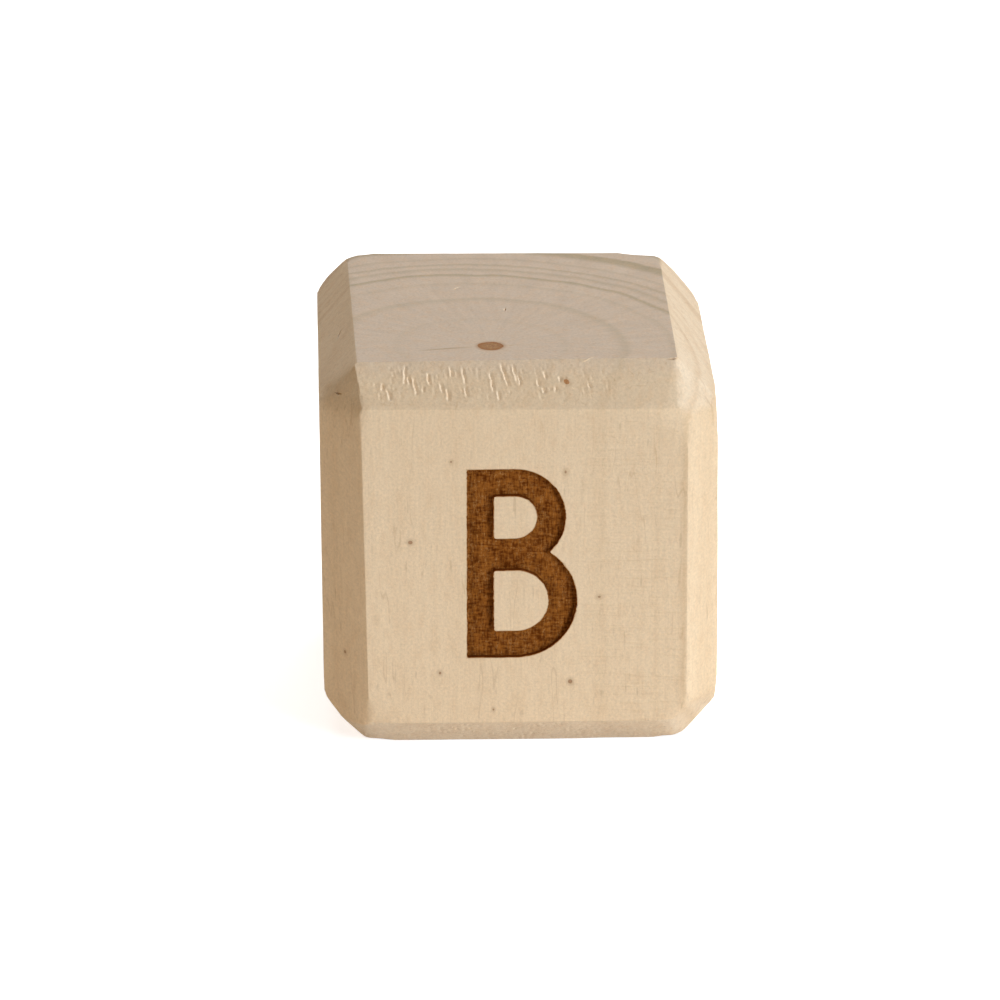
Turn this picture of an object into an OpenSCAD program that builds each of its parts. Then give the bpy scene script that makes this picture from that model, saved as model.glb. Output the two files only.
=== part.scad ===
// Wooden alphabet block: a solid pine cube with chamfered edges, sanded corners and one burnt-in letter.
// Millimetres. +Z is up, along the grain. The letter faces -Y, and the origin is the middle of the underside.

/* [Block] */
// Width of the block, from left to right
block_width = 45; // [38:0.5:60]
// Depth of the block, from the lettered front to the back
block_depth = 45; // [38:0.5:60]
// Height of the block, along the grain
block_height = 45; // [38:0.5:60]

/* [Chamfers] */
// Leg of the chamfer between the front and the top
front_top_leg = 4.3; // [2:0.1:6]
// Leg of the chamfer between the front and the underside
front_bottom_leg = 3.5; // [2:0.1:6]
// Leg of the chamfer between the front and the left side
front_left_leg = 5; // [2:0.1:6]
// Leg of the chamfer between the front and the right side
front_right_leg = 4.1; // [2:0.1:6]
// Leg of the chamfer between the back and the top
back_top_leg = 2.2; // [1.5:0.1:6]
// Leg of the chamfer between the back and the underside
back_bottom_leg = 4.2; // [2:0.1:6]
// Leg of the chamfer between the back and the left side
back_left_leg = 3.6; // [2:0.1:6]
// Leg of the chamfer between the back and the right side
back_right_leg = 5.2; // [2:0.1:6]
// Leg of the chamfer between the top and the left side
top_left_leg = 4; // [2:0.1:6]
// Leg of the chamfer between the top and the right side
top_right_leg = 5.1; // [2:0.1:6]
// Leg of the chamfer between the underside and the left side
bottom_left_leg = 5; // [2:0.1:6]
// Leg of the chamfer between the underside and the right side
bottom_right_leg = 4.4; // [2:0.1:6]
// How far sanding has taken each corner in from the point where its three faces would meet
corner_cut = 5.1; // [4:0.1:7]

/* [Letter] */
// Height of the letter
letter_height = 22.4; // [18:0.1:28]
// Width of the upright stem
letter_stem = 3; // [2:0.1:4.5]
// Width of the curved strokes
letter_stroke = 3.2; // [2:0.1:4]
// Thickness of the middle bar, where the two bowls meet
waist_bar = 3.8; // [2.4:0.1:5]
// Height of the opening in the upper bowl
upper_counter = 5; // [3:0.1:7]
// Reach of the upper bowl from the left edge of the stem
upper_reach = 11; // [9:0.1:14]
// Reach of the lower bowl from the left edge of the stem
lower_reach = 12.3; // [10:0.1:15]
// Sideways place of the letter's middle, measured from the middle of the front
letter_shift = 0; // [-3:0.1:3]
// Depth of the burnt-in recess
engraving_depth = 0.9; // [0.5:0.1:2]
// Thickness of the charred skin on the floor and walls of the recess
char_thickness = 0.25; // [0.1:0.05:0.4]

/* [Pith and knots] */
// Diameter of the pith
pith_diameter = 2.9; // [1:0.1:5]
// Distance from the front face to the middle of the pith
pith_setback = 9.2; // [6:0.1:20]
// Sideways place of the pith, measured from the middle of the block
pith_shift = -3.2; // [-10:0.1:10]
// Diameter of a pin knot
knot_diameter = 0.4; // [0.3:0.1:1.2]

/* [Hidden] */
$fn = 128;

// How far a cutter runs past the face that it leaves through
overrun = 1;

// Each pin knot runs straight out from the pith: its bearing in degrees, turning from the front towards the
// right, its rise in degrees, and the share of the block's height that it starts at
KNOT_BEARINGS_RISES_AND_SHARES = [
    [-45, 0, 0.56],
    [43, 0, 0.185],
    [-33, 0, 0.212],
    [-27, 0, 0.77],
    [41, 0, 0.74],
    [52, 0, 0.41],
    [0, 0, 0.112],
    [50, 45, 0.72],
    [-68, 0, 0.25]
];

half_width = block_width / 2;
half_depth = block_depth / 2;
half_height = block_height / 2;
sanding_radius = norm([half_width, half_depth, half_height]) - corner_cut;

// Edges as [first coordinate, second coordinate, leg] in the plane that the edge crosses at right angles
UPRIGHT_EDGES = [
    [-half_width, -half_depth, front_left_leg],
    [half_width, -half_depth, front_right_leg],
    [-half_width, half_depth, back_left_leg],
    [half_width, half_depth, back_right_leg]
];
FRONT_TO_BACK_EDGES = [
    [-half_width, block_height, top_left_leg],
    [half_width, block_height, top_right_leg],
    [-half_width, 0, bottom_left_leg],
    [half_width, 0, bottom_right_leg]
];
LEFT_TO_RIGHT_EDGES = [
    [-half_depth, block_height, front_top_leg],
    [-half_depth, 0, front_bottom_leg],
    [half_depth, block_height, back_top_leg],
    [half_depth, 0, back_bottom_leg]
];

// The letter lies in its own plane, with its lower left corner at zero
lower_counter = letter_height - upper_counter - waist_bar - 2 * letter_stroke;
lower_radius = lower_counter / 2 + letter_stroke;
upper_radius = upper_counter / 2 + letter_stroke;
upper_middle = letter_height - upper_radius;
letter_left = letter_shift - max(upper_reach, lower_reach) / 2;
letter_foot = (block_height - letter_height) / 2;
recess_floor = -half_depth + engraving_depth;

pith_y = -half_depth + pith_setback;
knot_run = block_width + block_depth;

// A square bar along Z whose corner line, laid on an edge, takes the given leg off both faces
module chamfer_bar(leg, length) {
    rotate(45)
        cube([leg * sqrt(2), leg * sqrt(2), length], center = true);
}

// The outside of the block, before anything is cut into it
module block_shape() {
    intersection() {
        difference() {
            translate([-half_width, -half_depth, 0])
                cube([block_width, block_depth, block_height]);
            for (edge = UPRIGHT_EDGES)
                translate([edge[0], edge[1], half_height])
                    chamfer_bar(edge[2], block_height + 2 * overrun);
            for (edge = FRONT_TO_BACK_EDGES)
                translate([edge[0], 0, edge[1]])
                    rotate([90, 0, 0])
                        chamfer_bar(edge[2], block_depth + 2 * overrun);
            for (edge = LEFT_TO_RIGHT_EDGES)
                translate([0, edge[0], edge[1]])
                    rotate([0, 90, 0])
                        chamfer_bar(edge[2], block_width + 2 * overrun);
        }
        translate([0, 0, half_height])
            sphere(r = sanding_radius);
    }
}

// A bar that starts at left and ends in a half circle at reach
module round_ended_bar(left, reach, radius) {
    intersection() {
        translate([left, -radius])
            square([reach - left, 2 * radius]);
        union() {
            translate([left, -radius])
                square([reach - radius - left, 2 * radius]);
            translate([reach - radius, 0])
                circle(r = radius);
        }
    }
}

// The letter drawn in by inset all round: a straight stem and two bowls of plain arcs
module letter_outline(inset) {
    translate([inset, inset])
        square([letter_stem - 2 * inset, letter_height - 2 * inset]);
    difference() {
        union() {
            translate([0, lower_radius])
                round_ended_bar(inset, lower_reach - inset, lower_radius - inset);
            translate([0, upper_middle])
                round_ended_bar(inset, upper_reach - inset, upper_radius - inset);
        }
        translate([0, lower_radius])
            round_ended_bar(0, lower_reach - letter_stroke + inset, lower_counter / 2 + inset);
        translate([0, upper_middle])
            round_ended_bar(0, upper_reach - letter_stroke + inset, upper_counter / 2 + inset);
    }
}

// The letter as a solid that stands on the plane y = floor_y and runs length towards the front
module letter_solid(inset, floor_y, length) {
    translate([letter_left, floor_y, letter_foot])
        rotate([90, 0, 0])
            linear_extrude(length)
                letter_outline(inset);
}

module pith_shape(extra) {
    translate([pith_shift, pith_y, -extra])
        cylinder(d = pith_diameter, h = block_height + 2 * extra);
}

// The knots as round rods that start in the pith and run out past the block
module knot_rods() {
    for (knot = KNOT_BEARINGS_RISES_AND_SHARES)
        translate([pith_shift, pith_y, knot[2] * block_height])
            rotate(knot[0])
                rotate([90 - knot[1], 0, 0])
                    cylinder(d = knot_diameter, h = knot_run);
}

module timber_block() {
    color([0.87, 0.77, 0.64])
        difference() {
            block_shape();
            pith_shape(overrun);
            knot_rods();
            letter_solid(0, recess_floor, engraving_depth + overrun);
        }
}

module pith_core() {
    color([0.62, 0.48, 0.34])
        pith_shape(0);
}

module pin_knots() {
    color([0.5, 0.31, 0.16])
        difference() {
            intersection() {
                knot_rods();
                block_shape();
            }
            pith_shape(overrun);
            letter_solid(0, recess_floor, engraving_depth + overrun);
        }
}

module letter_char() {
    color([0.44, 0.26, 0.11])
        difference() {
            letter_solid(0, recess_floor, engraving_depth);
            letter_solid(char_thickness, recess_floor - char_thickness, engraving_depth + overrun);
        }
}

timber_block();
pith_core();
pin_knots();
letter_char();
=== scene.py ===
"""Wooden alphabet block: the looks of a sanded pine cube with one burnt-in letter, on a plain stage."""

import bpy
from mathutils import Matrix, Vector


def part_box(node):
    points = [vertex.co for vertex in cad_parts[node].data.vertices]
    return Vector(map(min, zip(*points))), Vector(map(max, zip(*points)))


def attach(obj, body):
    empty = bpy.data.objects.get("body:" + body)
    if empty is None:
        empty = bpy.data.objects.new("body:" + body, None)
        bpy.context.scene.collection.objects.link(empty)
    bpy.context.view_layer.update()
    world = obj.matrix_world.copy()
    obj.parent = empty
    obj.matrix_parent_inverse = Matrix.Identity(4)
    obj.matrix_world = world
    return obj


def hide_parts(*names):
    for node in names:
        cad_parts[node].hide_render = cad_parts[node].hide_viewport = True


bl_info = {
    "name": "Wooden alphabet block",
    "version": (1, 0, 0),
    "blender": (4, 5, 0),
    "location": "3D View > Sidebar > Alphabet block",
    "description": "Models and finishes a sanded pine block with its pith, pin knots and burnt-in letter",
    "category": "Object",
}

import math
import random
from collections import namedtuple

import bpy
from bpy.props import FloatProperty, FloatVectorProperty, PointerProperty
from mathutils import Matrix, Vector

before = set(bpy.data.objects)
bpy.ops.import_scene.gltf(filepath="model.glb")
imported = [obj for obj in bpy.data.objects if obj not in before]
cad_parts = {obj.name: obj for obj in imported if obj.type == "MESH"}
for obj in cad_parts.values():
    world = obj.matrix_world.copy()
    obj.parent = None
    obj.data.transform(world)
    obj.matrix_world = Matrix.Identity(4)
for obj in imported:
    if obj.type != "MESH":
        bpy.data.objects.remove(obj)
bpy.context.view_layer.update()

# Units and places taken from the frame, in metres
MM = 0.001
BLOCK_LOW, BLOCK_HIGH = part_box("timber_block")
BLOCK_SIZE = BLOCK_HIGH - BLOCK_LOW
BLOCK_MIDDLE = (BLOCK_LOW + BLOCK_HIGH) / 2
FRONT_Y = BLOCK_LOW.y
LETTER_LOW, LETTER_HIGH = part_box("letter_char")
LETTER_DEPTH = LETTER_HIGH.y - LETTER_LOW.y
PITH_LOW, PITH_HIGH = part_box("pith_core")
PITH_MIDDLE = (PITH_LOW + PITH_HIGH) / 2
PITH_RADIUS = (PITH_HIGH.x - PITH_LOW.x) / 2

# How far a cutter runs past the face that it leaves through, and how near a cut a point counts as on it
OVERRUN = 1 * MM
CUT_TOLERANCE = 0.0001 * MM

# The way that each face of the block looks
FACES = {
    "front": Vector((0, -1, 0)),
    "back": Vector((0, 1, 0)),
    "left": Vector((-1, 0, 0)),
    "right": Vector((1, 0, 0)),
    "top": Vector((0, 0, 1)),
    "underside": Vector((0, 0, -1)),
}

# Hand-cut chamfers: the two faces, and the leg in mm at the edge's low end and at its high end
CHAMFERS = (
    ("front", "top", 4.1, 4.5),
    ("front", "underside", 3.5, 3.5),
    ("front", "left", 5.4, 4.6),
    ("front", "right", 4.0, 4.2),
    ("back", "top", 1.6, 2.7),
    ("back", "underside", 4.0, 4.4),
    ("back", "left", 3.4, 3.7),
    ("back", "right", 5.0, 5.4),
    ("top", "left", 4.4, 3.6),
    ("top", "right", 5.15, 5.0),
    ("underside", "left", 5.0, 5.0),
    ("underside", "right", 4.2, 4.6),
)

# Faces that are planed a little out of square: how much in mm is off at the foot and at the top
LEANING_FACES = (
    ("left", 0.4, 0.1),
    ("right", 0.3, 0.7),
)

# Sanded corners: the three faces, how much the cut turns to each of them, how far in mm the corner is cut
# back, how far in mm from its point the edges are sanded over, how many times, and whether it stays crisp
# towards the first and the last face
CORNERS = (
    ("front", "left", "top", (1.15, 1.35, 0.85), 5.2, 10, 70, True),
    ("front", "right", "top", (1, 1, 1), 5.7, 9, 45, False),
    ("front", "left", "underside", (1, 1, 1), 4.9, 8, 40, False),
    ("front", "right", "underside", (1, 1.1, 0.8), 5.25, 7.5, 30, False),
    ("back", "left", "top", (1, 1, 1), 3.6, 6, 30, False),
    ("back", "right", "top", (1, 1, 1), 4.5, 9, 45, False),
    ("back", "left", "underside", (1, 1, 1), 5.0, 7, 30, False),
    ("back", "right", "underside", (1, 1, 1), 5.0, 7, 30, False),
)

# Torn grain on the chamfer over the letter: place in mm from the middle, share of the way up the slope,
# length in mm and lean in degrees. Shallow slivers and the pits of the lower chamfer are strewn by chance.
GRAIN_SEED = 11
SHALLOW_SLIVERS = 60
PITS = 150
TORN_SLIVERS = (
    (-15.4, 0.48, 0.9, -1),
    (-14.7, 0.32, 1.4, -16),
    (-12.9, 0.71, 2.2, 1),
    (-12.5, 0.61, 1.1, -10),
    (-11.8, 0.48, 2.1, -10),
    (-10.9, 0.42, 0.7, -5),
    (-10.3, 0.63, 1.4, -8),
    (-8.9, 0.45, 1.2, -15),
    (-8.2, 0.31, 1.4, -3),
    (-7.8, 0.77, 1.2, -8),
    (-6.4, 0.70, 2.0, -9),
    (-6.2, 0.37, 1.2, -5),
    (-3.3, 0.54, 2.4, -8),
    (-2.6, 0.29, 1.2, -11),
    (-1.9, 0.70, 2.7, -16),
    (-0.7, 0.71, 2.3, -14),
    (-0.3, 0.62, 1.6, -12),
    (1.8, 0.53, 0.9, -14),
    (2.4, 0.38, 0.7, -14),
    (2.6, 0.69, 1.1, -19),
    (3.7, 0.40, 0.7, -5),
    (4.2, 0.60, 0.7, -17),
    (7.5, 0.46, 0.6, -20),
)

# Share of a chamfer's slope that is torn
TORN_SHARE = 0.94

# A torn sliver in mm: how far aside it counts, the sway of its line, its steep left wall and its raised lip
SLIVER_REACH = 1.5
SLIVER_SWAY = 0.03
SLIVER_WALL = 0.13
LIP_OFFSET = 0.24
LIP_WIDTH = 0.1
LIP_SHARE = 0.3

# Hair cracks and nicks seen from above: place in mm from the block's axis, length, width and depth in mm, and
# the way that they run, in degrees from the right towards the back. The first is the check beside the pith.
HAIR_CRACKS = (
    (-8.3, -14.1, 7.4, 0.3, 0.12, 11),
    (-0.9, -13.1, 1.6, 0.3, 0.12, 4),
    (16.8, -18.1, 1.5, 0.32, 0.35, 10),
    (-1.1, -0.5, 1.6, 0.16, 0.4, 83),
    (-6.6, 7.2, 0.7, 0.2, 0.3, 60),
    (-20.0, -4.1, 3.6, 0.28, 0.2, 63),
    (-20.2, -18.8, 1.5, 0.3, 0.25, -39),
)

# Fibres that stand up from the chamfer over the letter: place in mm from the middle, share of the way up the
# slope, length in mm and lean in degrees
RAISED_FIBRES = (
    (7.2, 0.98, 2.0, 62),
    (5.6, 0.42, 0.7, -20),
    (7.9, 0.55, 0.8, 40),
    (9.4, 0.33, 0.6, -35),
    (12.3, 0.61, 0.7, 70),
    (14.8, 0.4, 0.6, 15),
    (-16.2, 0.92, 0.6, 55),
    (-9.6, 0.96, 0.7, -60),
    (1.0, 0.95, 0.6, 48),
)

# Pin knots: bearing in degrees from the front towards the right, share of the block's height at the pith,
# rise in degrees, width in mm, and how many times taller than wide
PIN_KNOTS = (
    (-45, 0.56, 0, 0.36, 1.2),
    (43, 0.185, 0, 0.36, 1.4),
    (-33, 0.212, 0, 0.22, 1.5),
    (-27, 0.77, 0, 0.2, 1.2),
    (41, 0.74, 0, 0.18, 2.0),
    (52, 0.41, 0, 0.2, 1.2),
    (0, 0.112, 0, 0.2, 1.2),
    (50, 0.72, 45, 0.46, 1.5),
    (-68, 0.25, 0, 0.3, 1.3),
)

# Growth rings: radius in mm from the pith, width of the dark band in mm, and strength
GROWTH_RINGS = (
    (9.8, 1.6, 0.14),
    (17.3, 2.0, 0.4),
    (22.8, 1.2, 0.25),
    (25.9, 1.1, 0.9),
    (27.9, 1.3, 0.5),
    (29.5, 0.9, 0.6),
    (31.7, 0.9, 0.35),
    (35.0, 1.5, 0.85),
    (36.2, 1.2, 1.0),
    (40.5, 1.6, 0.8),
)
RING_REACH = 48.0
RING_STRETCH = 0.1

# Layers of the figure that the bare wood shows, one after another: the part of the figure, the stretch of
# it that counts, the strength at both ends of that stretch, and the colour, or none where it lightens and
# darkens
FIGURE_LAYERS = (
    ("Streak", 0.3, 0.7, 0.0, 0.16, (0.66, 0.44, 0.25)),
    ("Mottle", 0.47, 0.72, 0.0, 0.26, (0.68, 0.44, 0.24)),
    ("Fibre", 0.3, 0.75, 0.965, 1.03, None),
    ("Speckle", 0.3, 0.7, 0.9, 1.095, None),
    ("Fleck", 0.0, 1.0, 0.0, 0.25, (0.4, 0.25, 0.13)),
    ("Line", 0.0, 1.0, 0.0, 0.3, (0.5, 0.31, 0.16)),
)

# Colours of the marks in the wood and in the char
KNOT_HALO = (0.5, 0.32, 0.18)
KNOT_EDGE = (0.36, 0.2, 0.11)
KNOT_SPECKS = (0.55, 0.33, 0.17)
HIGH_KNOT = (0.38, 0.165, 0.056)
PITH_STAIN = (0.42, 0.23, 0.1)
PITH_DARK = (0.3, 0.13, 0.046)
PITH_LIGHT = (0.43, 0.235, 0.09)
# The dark line along the check beside the pith: partly stain, partly painted shade in the crack
CHECK_STAIN_AND_SHADE = (0.3, 0.21, 0.12)
TOASTED_RIM = (0.42, 0.2, 0.06)
CHAR_THREADS = (0.44, 0.25, 0.1)

# Size of one facet of the charred skin
CHAR_PITCH = 0.14 * MM

# What the camera sees of the floor beside its own colour, the floor's width in metres, how far it lies below
# the block, and the width of the camera's sensor in mm
FLOOR_SEEN = (0.72, 0.72, 0.72)
FLOOR_WIDTH = 3
FLOOR_DROP = 0.1 * MM
SENSOR_WIDTH = 36

# Studio lights: name, azimuth and elevation in degrees from the letter, distance and size in metres,
# power in watts and colour
STUDIO_LIGHTS = (
    ("Key light", 42, 15, 0.9, 0.35, 6.4, (0.75, 0.85, 0.965)),
    ("Side light", 85, 52, 0.9, 0.35, 3.4, (1.0, 0.91, 0.77)),
    ("Back light", 180, 40, 1.0, 0.6, 4.55, (1.0, 1.0, 1.0)),
    ("Left fill", -63, 26, 1.0, 0.6, 2.2, (1.0, 0.79, 0.54)),
)


class TimberSettings(bpy.types.PropertyGroup):
    """Sizes and colours of the pine block"""

    edge_rounding: FloatProperty(
        name="Edge rounding",
        description="Width of the rounding that sanding has left on every edge",
        default=0.35 * MM,
        unit="LENGTH",
    )
    worn_edge: FloatProperty(
        name="Worn edge",
        description="How far the edge over the letter is worn to both sides",
        default=1.6 * MM,
        unit="LENGTH",
    )
    skin_pitch: FloatProperty(
        name="Skin pitch",
        description="Size of one facet of the sanded surface",
        default=0.75 * MM,
        unit="LENGTH",
    )
    hand_wave: FloatProperty(
        name="Hand wave",
        description="How far hand sanding has left the faces out of flat",
        default=0.16 * MM,
        unit="LENGTH",
    )
    sliver_depth: FloatProperty(
        name="Sliver depth",
        description="How deep the torn slivers go into the chamfer over the letter",
        default=0.2 * MM,
        unit="LENGTH",
    )
    earlywood: FloatVectorProperty(
        name="Earlywood",
        description="Colour of the pale wood on the long-grain faces",
        default=(0.825, 0.63, 0.42),
        subtype="COLOR",
        min=0,
        max=1,
    )
    latewood: FloatVectorProperty(
        name="Latewood",
        description="Colour of the dark growth lines on the long-grain faces",
        default=(0.68, 0.47, 0.27),
        subtype="COLOR",
        min=0,
        max=1,
    )
    end_earlywood: FloatVectorProperty(
        name="End-grain earlywood",
        description="Colour of the pale wood on the sawn ends",
        default=(0.61, 0.5, 0.402),
        subtype="COLOR",
        min=0,
        max=1,
    )
    end_latewood: FloatVectorProperty(
        name="End-grain latewood",
        description="Colour of the growth rings on the sawn ends",
        default=(0.4, 0.33, 0.22),
        subtype="COLOR",
        min=0,
        max=1,
    )
    slant_earlywood: FloatVectorProperty(
        name="Cross-cut earlywood",
        description="Colour of the pale wood on the chamfers that cut across the grain",
        default=(0.83, 0.675, 0.5),
        subtype="COLOR",
        min=0,
        max=1,
    )
    slant_latewood: FloatVectorProperty(
        name="Cross-cut latewood",
        description="Colour of the growth lines on the chamfers that cut across the grain",
        default=(0.56, 0.36, 0.2),
        subtype="COLOR",
        min=0,
        max=1,
    )
    pith_colour: FloatVectorProperty(
        name="Pith",
        description="Colour of the rim of the soft core",
        default=(0.33, 0.132, 0.036),
        subtype="COLOR",
        min=0,
        max=1,
    )
    knot_colour: FloatVectorProperty(
        name="Knots",
        description="Colour of the pin knots",
        default=(0.4, 0.22, 0.11),
        subtype="COLOR",
        min=0,
        max=1,
    )


class LetterSettings(bpy.types.PropertyGroup):
    """Sizes and colours of the burnt-in letter"""

    stem: FloatProperty(
        name="Stem",
        description="Width of the upright stem",
        default=3 * MM,
        unit="LENGTH",
    )
    stroke: FloatProperty(
        name="Stroke",
        description="Width of the curved strokes",
        default=3.2 * MM,
        unit="LENGTH",
    )
    upper_counter: FloatProperty(
        name="Upper opening",
        description="Height of the opening in the upper bowl",
        default=5 * MM,
        unit="LENGTH",
    )
    waist: FloatProperty(
        name="Waist",
        description="Thickness of the bar where the two bowls meet",
        default=3.8 * MM,
        unit="LENGTH",
    )
    upper_reach: FloatProperty(
        name="Upper reach",
        description="Reach of the upper bowl from the left edge of the stem",
        default=11 * MM,
        unit="LENGTH",
    )
    rim: FloatProperty(
        name="Charred rim",
        description="Thickness of the char on the walls of the recess",
        default=0.07 * MM,
        unit="LENGTH",
    )
    skin: FloatProperty(
        name="Charred skin",
        description="Thickness of the char on the floor of the recess",
        default=0.25 * MM,
        unit="LENGTH",
    )
    char_dark: FloatVectorProperty(
        name="Dark char",
        description="Colour of the deepest burn",
        default=(0.105, 0.0235, 0.0015),
        subtype="COLOR",
        min=0,
        max=1,
    )
    char_light: FloatVectorProperty(
        name="Light char",
        description="Colour of the fibres that stand up in the burn",
        default=(0.335, 0.114, 0.019),
        subtype="COLOR",
        min=0,
        max=1,
    )


class StageSettings(bpy.types.PropertyGroup):
    """Camera, light and floor"""

    azimuth: FloatProperty(
        name="Azimuth",
        description="How far the camera stands round to the right of the letter",
        default=math.radians(-1.99),
        subtype="ANGLE",
    )
    elevation: FloatProperty(
        name="Elevation",
        description="How far the camera looks down",
        default=math.radians(20.23),
        subtype="ANGLE",
    )
    distance: FloatProperty(
        name="Distance",
        description="From the camera to the middle of the block",
        default=0.67,
        unit="LENGTH",
    )
    lens: FloatProperty(
        name="Lens",
        description="Focal length in mm",
        default=210,
        unit="CAMERA",
    )
    aim_right: FloatProperty(
        name="Aim to the right",
        description="How far right of the block's middle the camera aims",
        default=-1.69 * MM,
        unit="LENGTH",
    )
    aim_up: FloatProperty(
        name="Aim up",
        description="How far above the block's middle the camera aims",
        default=-0.68 * MM,
        unit="LENGTH",
    )
    floor_colour: FloatVectorProperty(
        name="Floor",
        description="Colour of the floor",
        default=(0.86, 0.86, 0.86),
        subtype="COLOR",
        min=0,
        max=1,
    )
    floor_glow: FloatVectorProperty(
        name="Floor glow",
        description="Warm light that the floor throws back onto the block",
        default=(0.08, 0.055, 0.03),
        subtype="COLOR",
        min=0,
        max=1,
    )


# Modelling steps that every piece uses


def choose(*pieces):
    """Selects only these pieces, the first of them active."""
    bpy.ops.object.select_all(action="DESELECT")
    for piece in pieces:
        piece.select_set(True)
    bpy.context.view_layer.objects.active = pieces[0]


def open_mesh(piece):
    """Goes into edit mode on the piece with all of it selected."""
    choose(piece)
    bpy.ops.object.mode_set(mode="EDIT")
    bpy.ops.mesh.select_mode(type="FACE")
    bpy.ops.mesh.select_all(action="SELECT")


def close_mesh():
    """Goes back to object mode."""
    bpy.ops.object.mode_set(mode="OBJECT")


def open_faces(piece, test):
    """Goes into edit mode with only the faces selected that pass the test."""
    open_mesh(piece)
    bpy.ops.mesh.select_all(action="DESELECT")
    close_mesh()
    for polygon in piece.data.polygons:
        polygon.select = test(polygon)
    bpy.ops.object.mode_set(mode="EDIT")


def named_primitive(name):
    """Names the primitive that was just added and puts its place into its mesh."""
    piece = bpy.context.view_layer.objects.active
    piece.name = name
    piece.data.name = name
    choose(piece)
    bpy.ops.object.transform_apply(location=True, rotation=True, scale=True)
    return piece


def copy_of(piece, name):
    """A copy of the piece with its own mesh."""
    twin = piece.copy()
    twin.data = piece.data.copy()
    twin.name = name
    twin.data.name = name
    bpy.context.scene.collection.objects.link(twin)
    return twin


def joined(pieces, name):
    """The pieces as one."""
    choose(*pieces)
    bpy.ops.object.join()
    piece = bpy.context.view_layer.objects.active
    piece.name = name
    piece.data.name = name
    return piece


def discard(piece):
    bpy.data.objects.remove(piece)


def apply_modifier(piece, kind, **options):
    modifier = piece.modifiers.new(kind.title(), kind)
    for option, value in options.items():
        setattr(modifier, option, value)
    choose(piece)
    bpy.ops.object.modifier_apply(modifier=modifier.name)


def combine(piece, other, operation):
    """Cuts, joins or trims the piece with another solid."""
    apply_modifier(
        piece, "BOOLEAN", object=other, operation=operation, solver="MANIFOLD"
    )
    if not piece.data.polygons:
        raise RuntimeError(f"nothing is left of {piece.name} after {operation}")


def roughen(piece, grain, strength, direction="NORMAL", group="", stretch=(1, 1, 1)):
    """Moves the surface by a cloud pattern whose grain has the given size."""
    pattern = bpy.data.textures.new("Surface clouds", "CLOUDS")
    pattern.noise_scale = 1.0
    pattern.noise_depth = 2
    guide = bpy.data.objects.new("Pattern guide", None)
    bpy.context.scene.collection.objects.link(guide)
    guide.scale = [grain * share for share in stretch]
    bpy.context.view_layer.update()
    apply_modifier(
        piece,
        "DISPLACE",
        texture=pattern,
        texture_coords="OBJECT",
        texture_coords_object=guide,
        direction=direction,
        strength=strength,
        mid_level=0.5,
        vertex_group=group,
    )
    discard(guide)
    bpy.data.textures.remove(pattern)


def group_of(piece, name, test):
    """Names the points of the piece that pass the test."""
    members = [point.index for point in piece.data.vertices if test(point.co)]
    piece.vertex_groups.new(name=name).add(members, 1.0, "REPLACE")
    return name


def finish_piece(piece, material, nodes=(), smooth_angle=35):
    """Gives the piece its material, its smooth shading and its place in the frame."""
    piece.vertex_groups.clear()
    piece.data.materials.clear()
    piece.data.materials.append(material)
    choose(piece)
    bpy.ops.object.shade_smooth_by_angle(angle=math.radians(smooth_angle))
    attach(piece, "root")
    if nodes:
        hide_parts(*nodes)


# Node trees


def rgba(colour):
    return (*colour, 1.0)


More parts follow.
